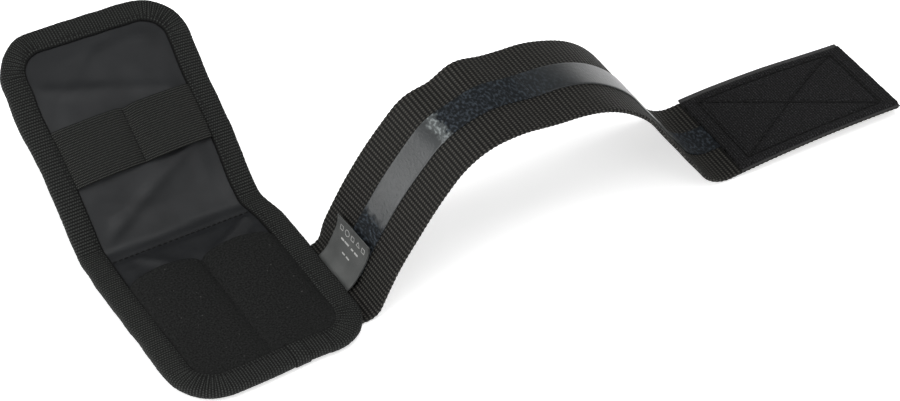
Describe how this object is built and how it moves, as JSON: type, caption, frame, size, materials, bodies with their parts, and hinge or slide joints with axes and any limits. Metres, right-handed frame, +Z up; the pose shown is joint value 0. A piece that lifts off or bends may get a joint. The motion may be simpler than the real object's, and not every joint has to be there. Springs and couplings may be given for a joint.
{
  "type": "strap-on tool wallet",
  "caption": "Folding fabric wallet with a slotted pocket, an elastic loop band and a webbing strap with a grip strip and a hook tape tab, for carrying small tools on a tube.",
  "frame": {"origin": "centre of the base panel, on the underside of the loop patch that it rests on", "axes": "+Z up from the resting face, +X towards the strap, +Y towards the lid's fold"},
  "size_m": [0.3401, 0.1838, 0.0712],
  "materials": {
    "loop_tape": "soft loop pile",
    "thread": "bonded thread",
    "webbing": "heavy plain weave",
    "shell_fabric": "coated plain weave",
    "foam": "matt foam",
    "lining": "smooth nylon with a soft sheen",
    "pocket_fabric": "matt stretch fabric",
    "binding_tape": "ribbed grosgrain",
    "elastic": "ribbed woven elastic",
    "grip_rubber": "glossy with fine cracks",
    "hook_tape": "dense hooks with a smooth selvage",
    "label_satin": "satin ribbon"
  },
  "bodies": {
    "base": {"loop_patch": "loop_tape", "loop_patch_stitch": "thread", "strap_anchor": "webbing", "strap_anchor_stitch": "thread", "base_outer_shell": "shell_fabric", "base_foam": "foam", "base_lining": "lining", "pocket": "pocket_fabric", "pocket_centre_stitch": "thread", "base_binding": "binding_tape", "base_binding_stitch": "thread", "binding_end_overlap": "binding_tape", "fold_seam_stitch": "thread"},
    "lid": {"lid_outer_shell": "shell_fabric", "lid_foam": "foam", "lid_lining": "lining", "lid_binding": "binding_tape", "lid_binding_stitch": "thread", "elastic_band": "elastic", "elastic_centre_stitch": "thread"},
    "strap_rise": {"strap_rise": "webbing", "grip_strip_rise": "grip_rubber"},
    "strap_crest": {"strap_crest": "webbing", "grip_strip_crest": "grip_rubber"},
    "strap_fall": {"strap_fall": "webbing", "grip_strip_fall": "grip_rubber"},
    "strap_end": {"strap_end": "webbing", "grip_strip_end": "grip_rubber", "hook_tape": "hook_tape", "hook_tape_stitch": "thread"},
    "label": {"care_label": "label_satin"}
  },
  "joints": [
    {"name": "lid_fold", "type": "hinge", "parent": "base", "child": "lid", "pos_m": [0, 0.05, 0.0061], "axis": [1, 0, 0], "range_deg": [-29, 118]},
    {"name": "strap_root_bend", "type": "hinge", "parent": "base", "child": "strap_rise", "pos_m": [0.0434, -0.008, 0.00085], "axis": [0, -1, 0], "range_deg": [-60, 0]},
    {"name": "strap_shoulder_bend", "type": "hinge", "parent": "strap_rise", "child": "strap_crest", "pos_m": [0.09987, -0.008, 0.06767], "axis": [0, -1, 0], "range_deg": [-40, 90]},
    {"name": "strap_crest_bend", "type": "hinge", "parent": "strap_crest", "child": "strap_fall", "pos_m": [0.16037, -0.008, 0.0609], "axis": [0, -1, 0], "range_deg": [-40, 90]},
    {"name": "strap_foot_bend", "type": "hinge", "parent": "strap_fall", "child": "strap_end", "pos_m": [0.20758, -0.008, 0.0025], "axis": [0, -1, 0], "range_deg": [-62, 55]},
    {"name": "label_flap", "type": "hinge", "parent": "base", "child": "label", "pos_m": [0.0444, 0, 0.0038], "axis": [0, -1, 0], "range_deg": [0, 10]}
  ]
}
